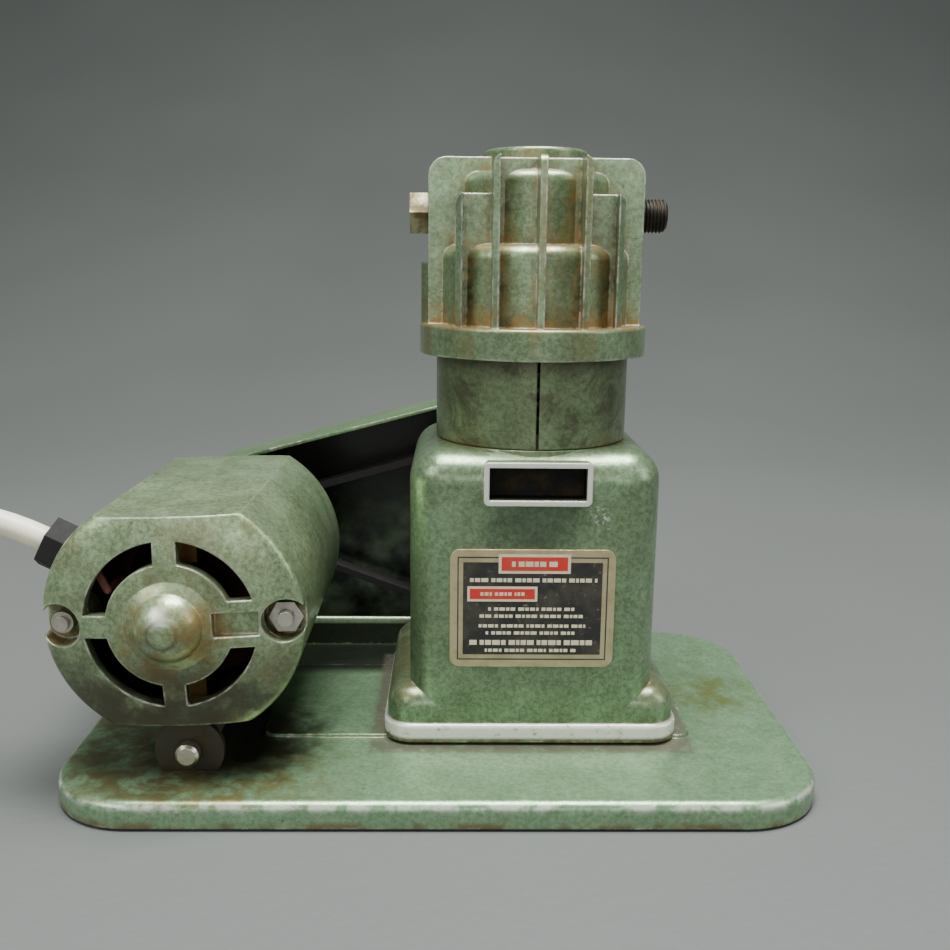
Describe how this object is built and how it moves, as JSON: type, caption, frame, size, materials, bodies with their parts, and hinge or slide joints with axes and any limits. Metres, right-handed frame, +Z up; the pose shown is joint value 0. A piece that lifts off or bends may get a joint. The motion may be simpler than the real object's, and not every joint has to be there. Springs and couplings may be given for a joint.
{
  "type": "belt-driven piston air compressor",
  "caption": "Small piston air compressor with a finned pump and a side motor on a hinge, joined by a belt behind a sheet guard, on one base plate.",
  "frame": {"origin": "on the floor under the middle of the object's bounding box, taken without its mains cord", "axes": "+Z up, -Y towards the front, where the nameplate is; the motor is at -X and the pump at +X"},
  "size_m": [0.3702, 0.1714, 0.1765],
  "materials": {
    "base_paint": "pale green hammered paint, stained and worn at the edges",
    "case_paint": "green hammered paint, worn bright at the bottom lip",
    "head_paint": "green hammered paint, rusty in the fin roots",
    "band_paint": "green hammered paint, dull and spotted",
    "guard_paint": "green paint outside, dark with soot inside",
    "motor_paint": "smooth green paint",
    "motor_face_paint": "green paint, rubbed and oily",
    "dark_steel": "blackened steel",
    "bright_steel": "turned steel",
    "nickel_brass": "plated brass",
    "bronze": "sintered bronze",
    "cast_iron": "machined cast iron",
    "cast_aluminium": "die casting",
    "laminations": "stacked steel sheets",
    "copper": "varnished copper",
    "carbon": "carbon",
    "gasket": "paper gasket",
    "felt": "felt",
    "black_rubber": "black rubber",
    "black_moulding": "black moulding",
    "cream_rubber": "cream rubber",
    "lead_sleeve": "pink lead sleeve",
    "nameplate_print": "printed black, red and gold plate"
  },
  "bodies": {
    "root": {"base_plate": "base_paint", "crankcase": "case_paint", "cylinder_head": "head_paint", "sleeve_band": "band_paint", "belt_guard": "guard_paint", "outlet_nipple": "dark_steel", "hinge_ears": "dark_steel", "lug_screws": "dark_steel", "guard_screws": "dark_steel", "intake_screen": "dark_steel", "crankcase_bolts": "dark_steel", "clamp_studs": "dark_steel", "housing_screws": "dark_steel", "hinge_pin": "bright_steel", "pin_washers": "bright_steel", "discharge_reed": "bright_steel", "plug_pins": "bright_steel", "relief_plug": "nickel_brass", "main_bush": "bronze", "cylinder": "cast_iron", "bearing_housing": "cast_aluminium", "valve_plate": "cast_aluminium", "base_gasket": "gasket", "head_gasket": "gasket", "intake_felt": "felt", "rubber_feet": "black_rubber", "drive_belt": "black_rubber", "cord_tie": "black_moulding", "mains_cord": "cream_rubber", "cord_coil": "cream_rubber", "plug_body": "cream_rubber", "nameplate": "nameplate_print"},
    "motor": {"motor_hinge_lug": "cast_iron", "motor_front_shell": "motor_face_paint", "motor_rear_shell": "motor_paint", "through_bolts": "bright_steel", "through_bolt_nut": "bright_steel", "field_core": "laminations", "field_coils": "copper", "motor_bearings": "bronze", "brush_holders": "bronze", "carbon_brushes": "carbon", "cord_gland": "black_moulding", "motor_leads": "lead_sleeve"},
    "armature": {"motor_shaft": "bright_steel", "armature_core": "laminations", "armature_windings": "copper", "commutator": "copper", "cooling_fan": "black_moulding", "motor_pulley": "cast_aluminium"},
    "crank": {"crankshaft": "bright_steel", "flywheel": "cast_iron", "flywheel_nut": "bright_steel", "crankpin_retainer": "bright_steel"},
    "rod": {"connecting_rod": "cast_aluminium", "big_end_bush": "bronze", "wrist_pin": "bright_steel"},
    "piston": {"piston": "cast_aluminium", "piston_rings": "cast_iron", "intake_leaf": "bright_steel"}
  },
  "joints": [
    {"name": "motor_tilt", "type": "hinge", "parent": "root", "child": "motor", "pos_m": [-0.068, 0, 0.014], "axis": [0, 1, 0], "range_deg": [0, 7]},
    {"name": "crank_spin", "type": "hinge", "parent": "root", "child": "crank", "pos_m": [0.0264, 0.0545, 0.049], "axis": [0, 1, 0], "continuous": true},
    {"name": "armature_spin", "type": "hinge", "parent": "motor", "child": "armature", "pos_m": [-0.06909, 0, 0.05298], "axis": [0, 1, 0], "continuous": true},
    {"name": "rod_swing", "type": "hinge", "parent": "crank", "child": "rod", "pos_m": [0.0264, -0.001, 0.055], "axis": [0, 1, 0], "continuous": true},
    {"name": "piston_slide", "type": "slide", "parent": "root", "child": "piston", "axis": [0, 0, 1], "range_m": [-0.012, 0]}
  ],
  "couplings": [
    {"joint": "armature_spin", "follows": "crank_spin", "ratio": 6.1111},
    {"joint": "rod_swing", "follows": "crank_spin", "ratio": -1}
  ]
}
